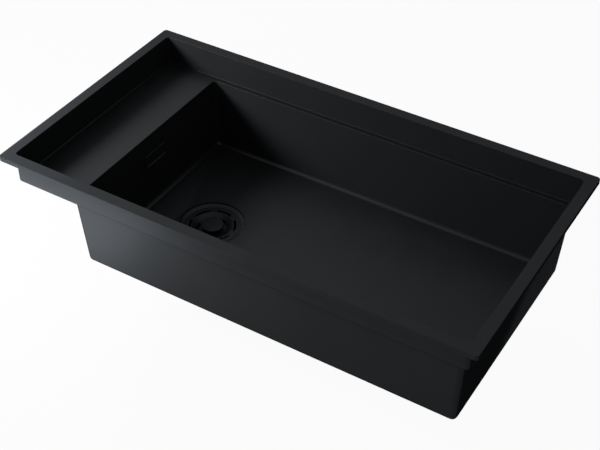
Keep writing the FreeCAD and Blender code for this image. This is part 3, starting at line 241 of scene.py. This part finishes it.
# %% Give each solid its finish
SOLIDS = {
    black_steel: ["rim_tray", "bowl", "drain_flange", "strainer_basket", "basket_knob",
                  "overflow_cover"],
    polypropylene: ["waste_body", "overflow_housing", "overflow_pipe", "upper_pipe_nut",
                    "lower_pipe_nut"],
    rubber: ["flange_gasket", "body_gasket", "stopper_seal", "overflow_gasket",
             "upper_pipe_washer", "lower_pipe_washer"],
    foam: ["rim_seal"],
    butyl: ["sound_pad"],
    acetal: ["stem_bush"],
    steel: ["clamp_screw", "overflow_screws", "stopper_stem"],
    brass: ["clamp_insert"],
}
for material, names in SOLIDS.items():
    for name in names:
        slots = frame["nodes"][name].data.materials
        slots.clear()
        slots.append(material)
    print(material.name, "on", len(names))
bare = set(frame["nodes"]) - {name for names in SOLIDS.values() for name in names}
print("without a finish:", sorted(bare))

# %% [markdown]
# ## White surroundings
#
# The picture is white all round, and the sink in it is black. Strong light
# could make the white, but it would wash the black out. Instead floor and world
# show plain white to straight, mirrored and transmitted rays only, and light
# the sink very little.

# %% Rays and world
LIGHT_COLOUR = (0.985, 0.99, 1.0)


def background_rays(tree):
    """1 for rays that show the background: straight, mirrored or let through."""
    path = add_node(tree, "ShaderNodeLightPath")
    gloss = add_node(tree, "ShaderNodeMath", {"operation": "MAXIMUM"},
                     {0: path.outputs["Is Glossy Ray"],
                      1: path.outputs["Is Transmission Ray"]})
    return add_node(tree, "ShaderNodeMath", {"operation": "MAXIMUM"},
                    {0: path.outputs["Is Camera Ray"], 1: gloss.outputs[0]}).outputs[0]


def white_world(strength):
    world = bpy.data.worlds.new("white_studio")
    bpy.context.scene.world = world
    world.use_nodes = True
    tree = world.node_tree
    tree.nodes.clear()
    output = tree.nodes.new("ShaderNodeOutputWorld")
    seen = add_node(tree, "ShaderNodeBackground", {"Color": WHITE, "Strength": 1.0})
    lit = add_node(tree, "ShaderNodeBackground",
                   {"Color": (*LIGHT_COLOUR, 1), "Strength": strength})
    mix = add_node(tree, "ShaderNodeMixShader", None,
                   {0: background_rays(tree), 1: lit.outputs[0], 2: seen.outputs[0]})
    tree.links.new(mix.outputs[0], output.inputs["Surface"])
    return world


print("world:", white_world(strength=0.06).name)

# %% [markdown]
# ## Floor
#
# A twentieth of the floor's colour is real white paper in the studio light, so
# it keeps the shadow of the sink. All of it could be, but then lamps would have
# to make the white. Under the outlet tube it is paper alone, or the lifted
# basket would show a drain that shines from below.

# %% Floor
OUTLET = next(m["pos_m"] for m in frame["record"]["mounts"] if m["name"] == "outlet")
TUBE_RADIUS_MM = 24
SHADE_RADIUS_MM = 60


def beyond(tree, centre, inner_mm, outer_mm):
    """0 within inner_mm of a point of the floor, 1 beyond outer_mm."""
    place = add_node(tree, "ShaderNodeTexCoord").outputs["Object"]
    away = add_node(tree, "ShaderNodeVectorMath", {"operation": "DISTANCE", 1: centre},
                    {0: place}).outputs["Value"]
    return add_node(tree, "ShaderNodeMapRange",
                    {"interpolation_type": "SMOOTHSTEP",
                     "From Min": inner_mm * MM, "From Max": outer_mm * MM},
                    {"Value": away}).outputs["Result"]


def floor_paper(centre, white):
    material, tree, output = new_material("white_floor")
    paper = add_node(tree, "ShaderNodeBsdfDiffuse", {"Color": linear("#f0f0f0")})
    glow = add_node(tree, "ShaderNodeEmission", {"Color": WHITE, "Strength": 1.0})
    most = add_node(tree, "ShaderNodeMath", {"operation": "MULTIPLY", 1: white},
                    {0: background_rays(tree)})
    share = add_node(tree, "ShaderNodeMath", {"operation": "MULTIPLY"},
                     {0: most.outputs[0],
                      1: beyond(tree, centre, TUBE_RADIUS_MM, SHADE_RADIUS_MM)})
    mix = add_node(tree, "ShaderNodeMixShader", None,
                   {0: share.outputs[0], 1: paper.outputs[0], 2: glow.outputs[0]})
    tree.links.new(mix.outputs[0], output.inputs["Surface"])
    return material


def studio_floor(level, reach, white):
    mesh = bpy.data.meshes.new("studio_floor")
    corners = [(-reach, -reach, level), (reach, -reach, level),
               (reach, reach, level), (-reach, reach, level)]
    mesh.from_pydata(corners, [], [(0, 1, 2, 3)])
    mesh.materials.append(floor_paper((OUTLET[0], OUTLET[1], level), white))
    floor = bpy.data.objects.new("studio_floor", mesh)
    bpy.context.scene.collection.objects.link(floor)
    return floor


floor = studio_floor(level=cad_box[0][2] - 1 * MM, reach=20.0, white=0.95)
print("floor at", round(floor.data.vertices[0].co.z, 4))

# %% [markdown]
# ## Lamps
#
# On the photographed sink the front left corner is bright, the right side is
# dark, and the inner wall under the shelf is nearly black. Even light from all
# sides would lose that, so three soft lamps make it. One stands high behind the
# left end and lights the rims, the shelf and the floor of the bowl. A small one
# near the left end gives the fall-off from left to right. A low one lies before
# the front left corner and stands for the light that a white table throws up
# against the outer walls.

# %% Three soft lamps


def soft_lamp(name, place, target, size, power):
    """A rectangular lamp; place, target and size in metres, power in watts."""
    lamp = bpy.data.lights.new(name, "AREA")
    lamp.shape = "RECTANGLE"
    lamp.size, lamp.size_y = size
    lamp.energy = power
    lamp.color = LIGHT_COLOUR
    holder = bpy.data.objects.new(name, lamp)
    holder.location = place
    way = Vector(target) - Vector(place)
    holder.rotation_euler = way.to_track_quat("-Z", "Y").to_euler()
    holder.visible_camera = False
    bpy.context.scene.collection.objects.link(holder)


soft_lamp("back_left_lamp", place=(-2.6, 1.0, 1.9), target=(-0.1, 0.0, -0.05),
          size=(1.0, 1.0), power=33)
soft_lamp("left_lamp", place=(-0.85, -0.42, 0.32), target=(-0.4, 0.15, 0.0),
          size=(0.25, 0.25), power=7.0)
soft_lamp("table_lamp", place=(-0.5, -0.45, -0.272), target=(-0.5, -0.4499, 0.5),
          size=(0.4, 0.3), power=5.0)

# %% [markdown]
# ## Camera
#
# The rim and the shelf are rectangles, so their edges in the picture give the
# place of the camera. It stands about two metres away at the front right and
# looks down by forty degrees through a lens of 73.5 mm. A camera could be
# turned by angles, but the fit gives three directions, so they are used as they
# are: right, down and ahead in the picture.

# %% Camera
SENSOR_WIDTH = 36.0


def set_camera(place, right, down, ahead, lens):
    camera = bpy.data.cameras.new("camera")
    camera.lens = lens
    camera.sensor_width = SENSOR_WIDTH
    holder = bpy.data.objects.new("camera", camera)
    columns = (Vector(right), -Vector(down), -Vector(ahead))
    turn = Matrix([[column[i] for column in columns] for i in range(3)])
    holder.matrix_world = Matrix.Translation(place) @ turn.to_4x4()
    bpy.context.scene.collection.objects.link(holder)
    bpy.context.scene.camera = holder
    return holder


camera = set_camera(place=(0.8100, -1.3203, 1.2059),
                    right=(0.853283, 0.521443, 0.002366),
                    down=(0.339650, -0.552345, -0.761283),
                    ahead=(-0.395659, 0.650394, -0.648415),
                    lens=73.55)
bpy.context.scene.view_settings.view_transform = "Standard"
print("camera at", [round(v, 3) for v in camera.location])
